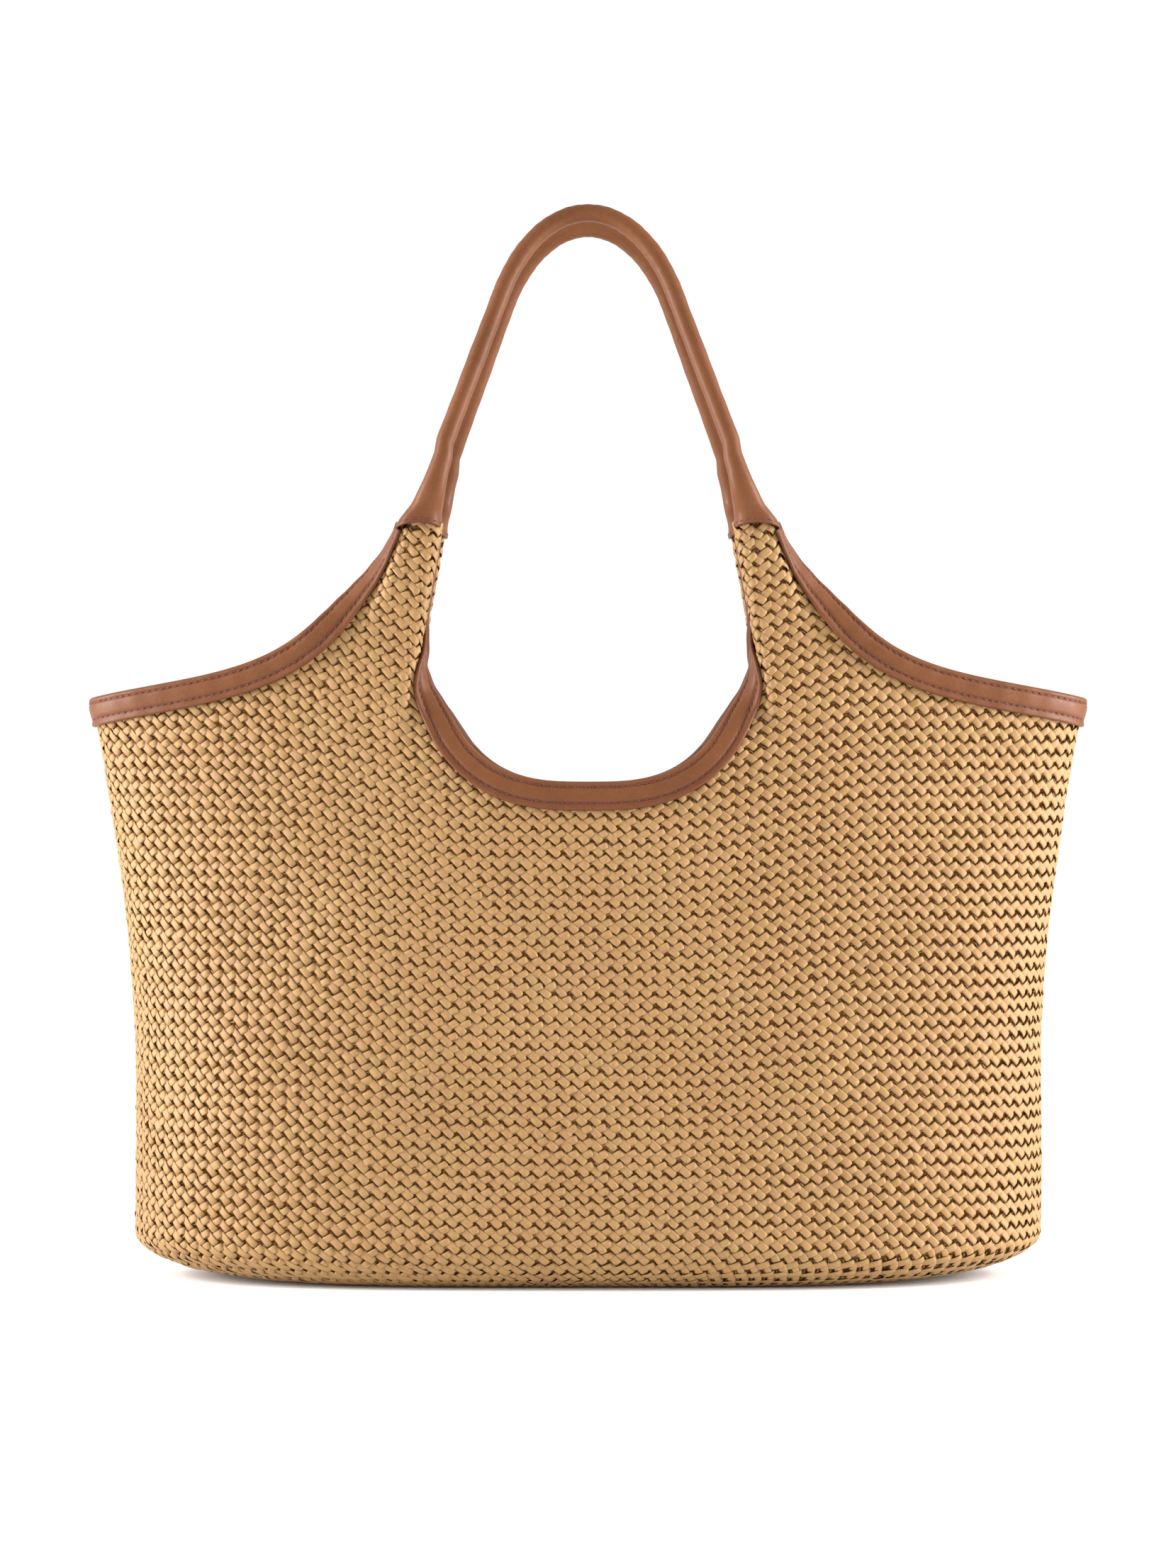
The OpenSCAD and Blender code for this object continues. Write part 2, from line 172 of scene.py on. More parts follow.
def wall(angle, m):
    a = np.radians(angle)
    w, d = half_w(m), half_d(m)
    x, y_in = curled(np.abs(np.sin(a)) * w, m)
    out = BACK_OUT * ramp(m, *BACK_SPAN) * (1 - ramp(x, *BACK_FADE))
    x = np.where(np.cos(a) < 0, x + out, x)
    plan_y = np.sqrt(np.maximum(0, 1 - (x / w) ** squareness(m)))
    end = inset(m) * BASE_END / EDGE_R
    push = slack(angle, m)
    return np.stack(
        [
            np.sign(np.sin(a)) * x * (w - end + SIDE_SLACK * push) / w,
            -np.sign(np.cos(a)) * ((d - inset(m) + push) * plan_y - y_in),
            height(m),
        ],
        axis=-1,
    )


def unit(v):
    return v / np.maximum(np.linalg.norm(v, axis=-1, keepdims=True), 1e-9)


def tangents(angle, m):
    """Millimetres along the cloth for each degree, and the outward normal."""
    across = wall(angle + 0.3, m) - wall(angle - 0.3, m)
    up = wall(angle, m + 0.4) - wall(angle, m - 0.4)
    return across / 0.6, unit(np.cross(across, up))


def inside(angle, m, depth):
    """The point that depth inside the surface, and the outward normal there."""
    normal = tangents(angle, m)[1]
    return wall(angle, m) - np.asarray(depth)[..., None] * normal, normal


# --- The rim ----------------------------------------------------------------------------
def rim_angle(x):
    return np.degrees(np.arcsin(np.minimum(1, x / RIM_W)))


def side_height(x):
    t = (x - TIP_OUT) / (RIM_W - TIP_OUT)
    rise = TIP_H - CORNER_H - RIM_BOW
    return CORNER_H + RIM_BOW * (1 - t**3) + rise * np.exp((TIP_OUT - x) / RIM_FALL)


def rim_height(x):
    """Height of the rim at x from the middle, along the cloth."""
    sine = np.clip(x / DIP_W, 0, 1) ** DIP_POWER
    dip = DIP_H + DIP_ROUND * (1 - np.sqrt(1 - sine**2))
    side = side_height(np.maximum(x, TIP_OUT))
    return np.where(x < DIP_W, dip, np.where(x < TIP_OUT, TIP_H, side))


def arc_length(points):
    """Length along a polyline up to each of its points."""
    steps = np.linalg.norm(np.diff(points, axis=0), axis=1)
    return np.concatenate([[0], np.cumsum(steps)])


def dip_half():
    """Angles and heights along the right half of the dip, from its middle up to the tip."""
    t = np.radians(np.arange(0, 91, 3))
    up = np.linspace(0, 1, 25)[1:]
    x = np.concatenate([DIP_W * np.sin(t) ** (1 / DIP_POWER), DIP_W + 0 * up])
    straight = DIP_H + DIP_ROUND
    z = np.concatenate([DIP_H + DIP_ROUND * (1 - np.cos(t)), straight + (TIP_H - straight) * up])
    return rim_angle(x), z


def side_quarter():
    """Angles and heights along the rim from a tip to the side corner."""
    start = rim_angle(np.array(TIP_OUT))
    angle = start + (90 - start) * np.linspace(0, 1, 90) ** 1.5
    return angle, side_height(RIM_W * np.sin(np.radians(angle)))


def even_line(angle, m, step):
    """The same rim line with its points a step apart."""
    run = arc_length(wall(angle, m))
    count = max(2, int(round(run[-1] / step)) + 1)
    i = np.arange(len(angle))
    at = np.interp(np.linspace(0, run[-1], count), run, i)
    return np.interp(at, i, angle), np.interp(at, i, m)


def dip_line(step):
    angle, m = dip_half()
    return even_line(np.concatenate([-angle[:0:-1], angle]), np.concatenate([m[:0:-1], m]), step)


def side_line(step):
    angle, m = side_quarter()
    angle, m = angle[m < SIDE_TOP], m[m < SIDE_TOP]
    return even_line(
        np.concatenate([angle, 180 - angle[-2::-1]]), np.concatenate([m, m[-2::-1]]), step
    )


def rim_points(line, w, depth):
    """Points at distances w into the panel from a rim line, at depths inside the surface."""
    angle, m = line
    reach = np.linalg.norm(tangents(angle, m)[0], axis=-1)
    da, dm = np.gradient(angle) * reach, np.gradient(m)
    size = np.hypot(da, dm)
    a = angle[:, None] + w * (dm / size / reach)[:, None]
    return inside(a, m[:, None] - w * (da / size)[:, None], depth + 0 * a)


# --- Meshes -----------------------------------------------------------------------------
def mesh_object(name, points, quads, **attributes):
    """A smooth mesh of quads, with an attribute of each point for every keyword."""
    me = bpy.data.meshes.new(name)
    quads = np.asarray(quads, np.int32)
    me.vertices.add(len(points))
    me.vertices.foreach_set("co", (np.asarray(points) * MM).astype(np.float32).ravel())
    me.loops.add(quads.size)
    me.loops.foreach_set("vertex_index", quads.ravel())
    me.polygons.add(len(quads))
    me.polygons.foreach_set("loop_start", np.arange(len(quads), dtype=np.int32) * 4)
    me.update(calc_edges=True)
    me.polygons.foreach_set("use_smooth", np.full(len(quads), True))
    for key, value in attributes.items():
        value = np.asarray(value, np.float32)
        kind = "FLOAT_COLOR" if value.ndim == 2 else "FLOAT"
        me.attributes.new(key, kind, "POINT").data.foreach_set(
            "color" if value.ndim == 2 else "value", value.ravel()
        )
    obj = bpy.data.objects.new(name, me)
    bpy.context.scene.collection.objects.link(obj)
    return obj


def strip_quads(rows, cols, closed=False):
    """Quads of a grid of points, row by row; closed joins the last column to the first."""
    i = np.arange(rows - 1)[:, None] * cols
    j = np.arange(cols if closed else cols - 1)[None, :]
    k = (j + 1) % cols
    return np.stack([i + j, i + k, i + cols + k, i + cols + j], axis=-1).reshape(-1, 4)


def end_quads(first, cols):
    """Quads that close a ring of an even number of points."""
    return np.array([[first + i, first + i + 1, first + cols - 2 - i, first + cols - 1 - i]
                     for i in range(cols // 2 - 1)])


def tube_quads(rows, cols):
    """Quads of a closed tube of rings, with both its ends."""
    return np.concatenate([strip_quads(rows, cols, True), end_quads(0, cols)[:, ::-1],
                           end_quads((rows - 1) * cols, cols)])


def closed_sheet(name, outer, inner):
    """A sheet with two faces and an edge."""
    rows, cols = outer.shape[:2]
    quads = strip_quads(rows, cols)
    n = rows * cols
    grid = np.arange(n).reshape(rows, cols)
    loop = np.concatenate([grid[0], grid[1:, -1], grid[-1, -2::-1], grid[-2:0:-1, 0]])
    nxt = np.roll(loop, -1)
    rim = np.stack([nxt, loop, loop + n, nxt + n], axis=-1)
    points = np.concatenate([outer.reshape(-1, 3), inner.reshape(-1, 3)])
    return mesh_object(name, points, np.concatenate([quads, quads[:, ::-1] + n, rim]))


def joined(parts):
    """Points, quads and attribute rows of several meshes as one."""
    points, quads, rows, at = [], [], [], 0
    for p, q, r in parts:
        points.append(p)
        quads.append(np.asarray(q) + at)
        rows.append(r)
        at += len(p)
    return np.concatenate(points), np.concatenate(quads), np.concatenate(rows)


def keep(obj, material, body, *nodes):
    """Give a piece its material and its body, and hide the CAD nodes it stands for."""
    obj.data.materials.append(material)
    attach(obj, body)
    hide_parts(*nodes)
    return obj


# --- Materials --------------------------------------------------------------------------
STRAW = (0.296, 0.165, 0.052)
STRAW_LIGHT = (0.337, 0.192, 0.063)
STRAW_DARK = (0.224, 0.110, 0.030)
STRAW_PINK = (0.280, 0.147, 0.055)
STRAW_PALE = (0.357, 0.216, 0.078)
# painted shade for the tucked ends of the ribbons
STRAW_TUCK_SHADE = (0.184, 0.079, 0.021)
GROUND = (0.34, 0.16, 0.05)
GROUND_DARK = (0.16, 0.06, 0.016)
LEATHER = (0.138, 0.046, 0.015)
LEATHER_DARK = (0.105, 0.033, 0.009)
LEATHER_LIGHT = (0.180, 0.066, 0.024)
# painted shade in the grooves and under the lips, also the darker folded edges
LEATHER_EDGE_AND_SHADE = (0.075, 0.017, 0.008)
LINING = (0.13, 0.055, 0.026)
LINING_DARK = (0.055, 0.022, 0.012)
THREAD = (0.13, 0.030, 0.012)
THREAD_DARK = (0.06, 0.012, 0.006)
BRASS = (0.70, 0.50, 0.22)
BRASS_DARK = (0.38, 0.24, 0.10)
ROPE = (0.78, 0.72, 0.58)
ROPE_DARK = (0.50, 0.43, 0.30)
BOARD = (0.30, 0.24, 0.18)
BOARD_DARK = (0.18, 0.14, 0.10)
FLOOR = (0.97, 0.97, 0.97)


class Net:
    """A node material: nodes are added with their inputs given as values or sockets."""

    def __init__(self, name, base, roughness, metallic=0.0):
        self.mat = bpy.data.materials.new(name)
        self.mat.use_nodes = True
        self.tree = self.mat.node_tree
        self.out = self.tree.nodes["Principled BSDF"]
        self.put(self.out, {"Base Color": base, "Roughness": roughness, "Metallic": metallic})

    def put(self, node, inputs):
        for key, value in inputs.items():
            socket = node.inputs[key]
            if isinstance(value, bpy.types.NodeSocket):
                self.tree.links.new(value, socket)
            elif hasattr(socket.default_value, "__len__") and len(value) == 3 and (
                    len(socket.default_value) == 4):
                socket.default_value = (*value, 1)
            else:
                socket.default_value = value

    def add(self, kind, inputs=None, out=0, **settings):
        node = self.tree.nodes.new("ShaderNode" + kind)
        for key, value in settings.items():
            setattr(node, key, value)
        self.put(node, inputs or {})
        return node.outputs[out]

    def attribute(self, name, out="Fac"):
        return self.add("Attribute", out=out, attribute_name=name)

    def place(self):
        return self.add("TexCoord", out="Object")

    def noise(self, vector, scale, detail=3.0, rough=0.55):
        return self.add("TexNoise", {"Vector": vector, "Scale": scale, "Detail": detail,
                                     "Roughness": rough})

    def wave(self, vector, scale, direction, distortion):
        return self.add("TexWave", {"Vector": vector, "Scale": scale, "Distortion": distortion},
                        out=1, bands_direction=direction)

    def span(self, value, lo, hi, to_lo=0.0, to_hi=1.0):
        return self.add("MapRange", {0: value, 1: lo, 2: hi, 3: to_lo, 4: to_hi})

    def maths(self, op, a, b):
        return self.add("Math", {0: a, 1: b}, operation=op)

    def total(self, a, a_share, b, b_share):
        return self.maths("ADD", self.maths("MULTIPLY", a, a_share),
                          self.maths("MULTIPLY", b, b_share))

    def mix(self, factor, a, b):
        return self.add("Mix", {0: factor, 6: a, 7: b}, out=2, data_type="RGBA")

    def bump(self, height, strength, distance):
        self.put(self.out, {"Normal": self.add("Bump", {"Height": height, "Strength": strength,
                                                        "Distance": distance})})
        return self


def straw_material():
    """Fibres along every ribbon, a tint of its own, and painted shade where it is tucked in under
    its neighbour.
    """
    net = Net("straw", STRAW, 0.6)
    fibre = net.add("SeparateColor", {0: net.attribute("fibre", "Color")}, out=0)
    along, across, seed = fibre.node.outputs
    seed = net.maths("MULTIPLY", seed, 40.0)
    vector = net.add("CombineXYZ", {0: net.maths("MULTIPLY", along, 1.6),
                                    1: net.maths("MULTIPLY", across, 7.0), 2: seed})
    lines = net.noise(vector, 1.0, 4.0, 0.6)
    fine = net.noise(net.add("CombineXYZ", {0: along, 1: net.maths("MULTIPLY", across, 24.0),
                                            2: seed}), 1.0, 2.0)
    colour = net.mix(net.span(lines, 0.3, 0.7), STRAW_DARK, STRAW_LIGHT)
    colour = net.mix(net.span(net.attribute("tint"), 0, 1, 0, 0.5), colour, STRAW_PINK)
    # painted shade towards the tucked end of each ribbon
    colour = net.mix(net.span(net.attribute("tuck"), 0, 1, 0, 0.6), colour, STRAW_TUCK_SHADE)
    blotch = net.noise(net.place(), 14.0, 2.0)
    colour = net.mix(net.span(blotch, 0.35, 0.7, 0, 0.25), colour, STRAW_PALE)
    net.put(net.out, {"Base Color": colour, "Roughness": net.span(fine, 0.3, 0.7, 0.5, 0.72)})
    return net.bump(net.total(lines, 0.7, fine, 0.4), 0.5, 0.0003).mat


def leather_material():
    """Clouded and speckled leather with a fine grain; the shade attribute paints shade into the
    seams, under the lips and round the hems, and darkens the folded edges.
    """
    net = Net("leather", LEATHER, 0.4)
    at = net.place()
    cloud = net.noise(at, 30.0, 4.0)
    speck = net.noise(at, 700.0, 3.0)
    colour = net.mix(net.span(cloud, 0.3, 0.7), LEATHER_DARK, LEATHER)
    colour = net.mix(net.span(speck, 0.45, 0.75, 0, 0.3), colour, LEATHER_LIGHT)
    # painted shade from the shade attribute, with darker folded edges
    colour = net.mix(net.span(net.attribute("shade"), 0, 1, 0, 0.8), colour, LEATHER_EDGE_AND_SHADE)
    grain = net.add("TexVoronoi", {"Vector": at, "Scale": 1300.0}, feature="SMOOTH_F1")
    net.put(net.out, {"Base Color": colour, "Roughness": net.span(speck, 0.3, 0.7, 0.4, 0.56),
                      "Specular IOR Level": 0.2})
    return net.bump(net.total(grain, 0.6, speck, 0.5), 0.3, 0.00025).mat


def cloth_material(name, light, dark, scale):
    """A plain weave of two crossed waves."""
    net = Net(name, light, 0.85)
    at = net.place()
    weave = net.maths("MULTIPLY", net.wave(at, scale, "Z", 1.2), net.wave(at, scale, "X", 1.2))
    colour = net.mix(net.span(weave, 0.1, 0.7), dark, light)
    colour = net.mix(net.span(net.noise(at, 40.0), 0.3, 0.7, 0, 0.35), colour, dark)
    net.put(net.out, {"Base Color": colour, "Specular IOR Level": 0.2})
    return net.bump(weave, 0.5, 0.0003).mat


def twisted_material(name, light, dark, roughness, scale, distortion, strength, distance):
    """Twisted yarn: diagonal waves."""
    net = Net(name, light, roughness)
    twist = net.wave(net.place(), scale, "DIAGONAL", distortion)
    net.put(net.out, {"Base Color": net.mix(twist, dark, light)})
    return net.bump(twist, strength, distance).mat


def brass_material():
    net = Net("brass", BRASS, 0.3, 1.0)
    at = net.place()
    tarnish = net.noise(at, 120.0, 5.0)
    scratch = net.noise(at, 900.0, 4.0)
    net.put(net.out, {"Base Color": net.mix(net.span(tarnish, 0.4, 0.7, 0, 0.6), BRASS, BRASS_DARK),
                      "Roughness": net.span(scratch, 0.3, 0.7, 0.22, 0.42)})
    return net.bump(scratch, 0.15, 0.0001).mat


def board_material():
    net = Net("board", BOARD, 0.8)
    fleck = net.noise(net.place(), 300.0, 5.0)
    net.put(net.out, {"Base Color": net.mix(net.span(fleck, 0.35, 0.65), BOARD_DARK, BOARD)})
    return net.bump(fleck, 0.3, 0.0002).mat


straw = straw_material()
ground = cloth_material("straw_ground", GROUND, GROUND_DARK, 150.0)
leather = leather_material()
lining = cloth_material("lining", LINING, LINING_DARK, 400.0)
tape = cloth_material("tape", LINING, LINING_DARK, 260.0)
thread = twisted_material("thread", THREAD, THREAD_DARK, 0.6, 500.0, 0.5, 0.5, 0.0002)
brass = brass_material()
rope = twisted_material("rope", ROPE, ROPE_DARK, 0.8, 160.0, 1.0, 0.8, 0.0006)
board = board_material()

# --- The woven straw --------------------------------------------------------------------
COLUMNS = 148  # cells round the bag
HALF = COLUMNS // 2
QUARTER = COLUMNS // 4
STRAW_PARTS = 5  # pieces that each half's straw is made in
CELL_W = 7.9  # width and height of a cell
CELL_H = 6.6
ROW_SHIFT = 0.3  # each row starts this much further to the left than the one below
ROW_LOW = EDGE_LOW + 2
ROW_TOP = TIP_H + 8
RIM_GAP = 1.5  # the straw stops this far below the rim, as it is RIM_REACH to either side
RIM_REACH = 2
SIDE_STRETCH = 0.075  # the rows are taller by this share from SIDE_SPAN on outwards
SIDE_SPAN = (35, 180)
STRETCH_H = EDGE_R + 60  # the height where a column's place in that span is taken

# Heights and shares of a quarter at which the columns' angles are tabled
TABLE_M = np.linspace(-60, TIP_H + 10, 240)
TABLE_F = np.linspace(0, 1, 201)

# A tongue of straw: its ends in a cell, from the tucked end to the free one
TONGUES = (((-7.6, 4.7), (-1.0, -1.1)), ((-4.0, -5.0), (2.8, -1.5)))
TONGUE_W = 1.95  # half its width
# Along it: share of its length, height above the surface and share of TONGUE_W
STATIONS = np.array([0, 0.2, 0.42, 0.62, 0.78, 0.9, 0.97, 1])
RISE = np.array([-1.7, -1.0, -0.55, -0.35, -0.35, -0.7, -1.3, -2.2])
NARROW = np.array([0.85, 1, 1, 1, 1, 0.97, 0.88, 0.6])
# Round it: share of half its width, and height above its middle line
RING_X = np.array([-1, -0.62, 0, 0.62, 1, 0.75, 0, -0.75])
RING_Z = np.array([-0.2, 0.04, 0.1, 0.04, -0.2, -0.5, -0.5, -0.5])
TUCK_SHADE_SPAN = 0.4  # share of a tongue over which the painted shade at its tucked end fades
END_JITTER = 0.16  # random spread of both its ends
BOW = (0.1, 0.22)  # mean and spread of its sideways bow
LIFT_JITTER = (0.08, 0.05)  # spread of its height, and of each of its stations' heights
TILT_JITTER = 0.08  # spreads of its tilt and its width
WIDTH_JITTER = 0.07
# A loose strand at the bottom of a hole, and the share of the cells that have it
STRANDS = (((-1.6, 1.1), (2.2, 2.0), 0.7), ((3.0, -0.4), (6.0, -3.6), 0.85))
STRAND_W = 0.42
STRAND_RISE = -1.6

# Ends, share of the cells, half width, height above the surface and narrowing of each kind
TONGUE_KINDS = [(ends, 1.0, TONGUE_W, RISE, NARROW) for ends in TONGUES]
STRAND_KINDS = [
    ((start, stop), chance, STRAND_W, 0 * RISE + STRAND_RISE, 0 * NARROW + 1)
    for start, stop, chance in STRANDS
]


def quarter_tables():
    """For each height, the angle at each share of the way from the side seam to the middle."""
    a = np.radians(np.concatenate([np.linspace(90, 80, 120), np.linspace(80, 0, 300)[1:]]))
    angles = []
    for m in TABLE_M:
        low = max(m, EDGE_LOW)
        w, d = float(half_w(low)), float(half_d(low))
        x = np.sin(a) * w
        y = (d - float(inset(low))) * np.sqrt(np.maximum(0, 1 - (x / w) ** float(squareness(low))))
        x = x * (w - float(inset(low)) * BASE_END / EDGE_R) / w
        run = arc_length(np.column_stack([x, y]))
        angles.append(np.interp(TABLE_F, run / run[-1], np.degrees(a)))
    return np.array(angles)


ANGLES = quarter_tables()


def column_angle(c, m):
    """The angle round the plan of column c, counted from the left seam, at height m."""
    c = np.mod(c, COLUMNS)
    quarter = np.floor(c / QUARTER).astype(int) % 4
    from_seam = np.where(quarter % 2 == 0, np.mod(c, QUARTER), QUARTER - np.mod(c, QUARTER))
    i = np.clip((m - TABLE_M[0]) / (TABLE_M[1] - TABLE_M[0]), 0, len(TABLE_M) - 1.001)
    j = np.clip(from_seam / QUARTER * (len(TABLE_F) - 1), 0, len(TABLE_F) - 1.001)
    i0, j0 = i.astype(int), j.astype(int)
    fi, fj = i - i0, j - j0
    a = (
        ANGLES[i0, j0] * (1 - fi) * (1 - fj)
        + ANGLES[i0 + 1, j0] * fi * (1 - fj)
        + ANGLES[i0, j0 + 1] * (1 - fi) * fj
        + ANGLES[i0 + 1, j0 + 1] * fi * fj
    )
    # Towards the tips the columns stay upright, and the wider flange has more of them
    x, line = RIM_W * np.sin(np.radians(a)), fold_line(INNER_FOLD, m)
    x = np.where(x < line, line - (line - x) / flange_stretch(m), x)
    a = np.where(m > FLANGE_SPAN[0], np.degrees(np.arcsin(np.clip(x / RIM_W, -1, 1))), a)
    return np.choose(quarter, [-a, a, 180 - a, a - 180])


def wall_place(c, m):
    return inside(column_angle(c, m), m, 0 * m)


def band(place, cells, kind, allowed, seed):
    """The tongues or strands of some cells. place maps columns and heights to points with
    normals; cells are columns, heights, and the scale and slope of the rows there."""
    cell_c, cell_m, scale, slope = cells
    ends, chance, width, rise, narrow = kind
    r = np.random.default_rng(seed)
    n = len(cell_c)
    start = np.array(ends[0]) + r.normal(0, END_JITTER, (n, 2))
    stop = np.array(ends[1]) + r.normal(0, END_JITTER, (n, 2))
    bow = r.normal(*BOW, n)
    along = STATIONS[None, :, None]
    path = start[:, None] * (1 - along) + stop[:, None] * along
    side = unit((stop - start)[:, ::-1] * np.array([-1, 1]))
    path = path + side[:, None] * (bow[:, None] * np.sin(np.pi * STATIONS))[..., None]
    c = cell_c[:, None] + path[..., 0] / CELL_W
    m = cell_m[:, None] + path[..., 1] * scale[:, None] + path[..., 0] * slope[:, None]
    good = allowed(c, m) & (r.random(n) < chance)
    c, m = c[good], m[good]
    n = len(c)
    if not n:
        return None
    point, normal = place(c, m)
    lift = rise[None] + r.normal(0, LIFT_JITTER[0], (n, 1))
    lift = lift + r.normal(0, LIFT_JITTER[1], (n, len(STATIONS)))
    ahead = unit(np.gradient(point, axis=1) + np.gradient(lift, axis=1)[..., None] * normal)
    lateral = unit(np.cross(normal, ahead))
    top = unit(np.cross(ahead, lateral))
    tilt = r.normal(0, TILT_JITTER, (n, 1, 1))
    lateral, top = lateral + tilt * top, top - tilt * lateral
    half = width * narrow[None] * (1 + r.normal(0, WIDTH_JITTER, (n, 1)))
    middle = point + lift[..., None] * normal
    ring = (
        middle[:, :, None]
        + lateral[:, :, None] * (half[:, :, None] * RING_X)[..., None]
        + top[:, :, None] * (np.minimum(1, width) * RING_Z)[None, None, :, None]
    )
    s, k = len(STATIONS), len(RING_X)
    quads = (tube_quads(s, k)[None] + np.arange(n)[:, None, None] * s * k).reshape(-1, 4)
    rows = np.stack(
        np.broadcast_arrays(
            along + 0 * ring[..., 0],
            RING_X[None, None] * 0.5 + 0.5,
            r.random((n, 1, 1)),
            r.random((n, 1, 1)) ** 2,
            # painted shade at the tucked end, fading along the ribbon
            np.clip(1 - along / TUCK_SHADE_SPAN, 0, 1),
        ),
        axis=-1,
    ).reshape(-1, 5)
    return ring.reshape(-1, 3), quads, rows


def straw_piece(name, parts):
    points, quads, rows = joined([p for p in parts if p is not None])
    fibre = np.column_stack([rows[:, 0], rows[:, 1], rows[:, 2], np.ones(len(rows))])
    return mesh_object(name, points, quads, fibre=fibre, tint=rows[:, 3], tuck=rows[:, 4])


def below_rim(c, m):
    x = RIM_W * np.abs(np.sin(np.radians(column_angle(c, m))))
    beside = np.minimum(rim_height(x - RIM_REACH), rim_height(x + RIM_REACH))
    return (m < np.minimum(rim_height(x), beside) - RIM_GAP).all(axis=1)


def everywhere(c, m):
    return np.ones(len(c), bool)


def row_scale(c):
    """How much taller than CELL_H the rows are at column c: more towards the seams."""
    x = np.abs(wall(column_angle(c, EDGE_R + 0 * c), STRETCH_H + 0 * c)[:, 0])
    return 1 + SIDE_STRETCH * ramp(x, *SIDE_SPAN)


def wall_bands(first, prefix, node):
    """The straw of half the bag from a column on, in upright pieces."""
    rows = int((TIP_H - EDGE_LOW) / CELL_H) + 1
    for k in range(STRAW_PARTS):
        lo, hi = first + HALF * k // STRAW_PARTS, first + HALF * (k + 1) // STRAW_PARTS
        i, j = np.meshgrid(np.arange(lo, hi), np.arange(rows))
        i, j = i.ravel(), j.ravel()
        before, scale, after = [row_scale(i + 0.5 + d) for d in (-0.5, 0, 0.5)]
        m = ROW_LOW + j * CELL_H * scale
        slope = j * CELL_H * (after - before) / CELL_W
        c = i + 0.5 - ROW_SHIFT / CELL_W * j
        wobble = 0.12 * np.sin(0.9 * i + 0.31 * j) + 0.15 * np.sin(0.23 * i - 0.7 * j + 1)
        near = m < ROW_TOP
        cells = [values[near] for values in (c, m + wobble, scale, slope)]
        parts = [
            band(wall_place, cells, kind, below_rim, seed + 10 * k + n)
            for kinds, seed in ((TONGUE_KINDS, 100), (STRAND_KINDS, 500))
            for n, kind in enumerate(kinds)
        ]
        keep(straw_piece(f"{prefix}_straw_{k + 1}", parts), straw, "bag", node)


wall_bands(0, "front", "front_panel")
wall_bands(HALF, "back", "back_panel")

BASE_W = BODY_W - BASE_END
BASE_FLAT_D = BASE_D - EDGE_R
BASE_STRAW_Z = 0.4


def base_round(k):
    """Round k of the straw on the underside: the number of its cells, and the function that
    places points in them."""
    off = CELL_H * (k + 0.5)
    turn = np.radians(np.linspace(0, 360, 721))
    power = 2 / max(2, 4 / (1 + 0.25 * k))
    x = (BASE_W - off) * np.sign(np.cos(turn)) * np.abs(np.cos(turn)) ** power
    y = (BASE_FLAT_D - off) * np.sign(np.sin(turn)) * np.abs(np.sin(turn)) ** power
    run = arc_length(np.column_stack([x, y]))
    count = max(6, int(run[-1] / CELL_W))

    def place(c, m):
        at = np.mod(c / count, 1) * run[-1]
        ahead = np.mod(at + 1, run[-1])
        px, py = np.interp(at, run, x), np.interp(at, run, y)
        tx, ty = np.interp(ahead, run, x) - px, np.interp(ahead, run, y) - py
        size = np.maximum(np.hypot(tx, ty), 1e-6)
        point = np.stack([px + m * ty / size, py - m * tx / size, BASE_STRAW_Z + 0 * px], axis=-1)
        return point, np.broadcast_to(np.array([0.0, 0.0, -1.0]), point.shape)

    return count, place


def base_piece():
    """Rounds of the same straw on the underside, from the lower edge of the wall inwards."""
    parts = []
    for k in range(int(BASE_FLAT_D / CELL_H)):
        count, place = base_round(k)
        c = np.arange(count) + 0.5
        for n, kind in enumerate(TONGUE_KINDS):
            cells = (c, 0 * c, 1 + 0 * c, 0 * c)
            parts.append(band(place, cells, kind, everywhere, 900 + 10 * k + n))
    return straw_piece("base_straw", parts)


keep(base_piece(), straw, "bag", "base_panel")

# --- The lining -------------------------------------------------------------------------
GROUND_DEPTHS = (2.9, 3.9)  # depths inside the surface of the body
LINING_DEPTH = 4.35
CLOTH_T = 0.8  # thickness of the lining and the pocket
CREASE_SHARE = 0.75  # scale of the creases, and the mean depth that is added to them first
CREASE_MEAN = 1.7
RIM_FLAT = 0.8  # share of them that is pressed flat at the rim
BASE_CLOTH_Z = 8.6


def lining_columns():
    """Angles round half the bag, and the height of the rim at each of them."""
    angle, m = dip_half()
    tip = rim_angle(np.arange(DIP_W + 2, TIP_OUT - 1, 2.5))
    side_a, side_m = side_quarter()
    angle = np.concatenate([angle, tip, side_a])
    m = np.minimum(np.concatenate([m, 0 * tip + TIP_H, side_m]), SIDE_TOP + 1)
    return np.concatenate([-angle[:0:-1], angle]), np.concatenate([m[:0:-1], m])


def half_grid(turn, rows):
    """Angles, heights and rim heights of a grid over half the bag, from the base to the rim."""
    angle, top = lining_columns()
    m = EDGE_LOW + (top - 1 - EDGE_LOW) * np.linspace(0, 1, rows)[:, None]
    return angle + turn + 0 * m, m, top


def creases(angle, m):
    """Depth of the small folds of the cloth, in millimetres."""
    return waves(CREASE_WAVES, np.radians(angle), m) * ramp(m, 10, 60)


def straw_ground(name, turn, node):
    """The inner side of the straw, which shows at the bottom of the holes."""
    a, m, _ = half_grid(turn, 60)
    layers = [inside(a, m, depth + 0 * a)[0] for depth in GROUND_DEPTHS]
    keep(closed_sheet(name, *layers), ground, "bag", node)


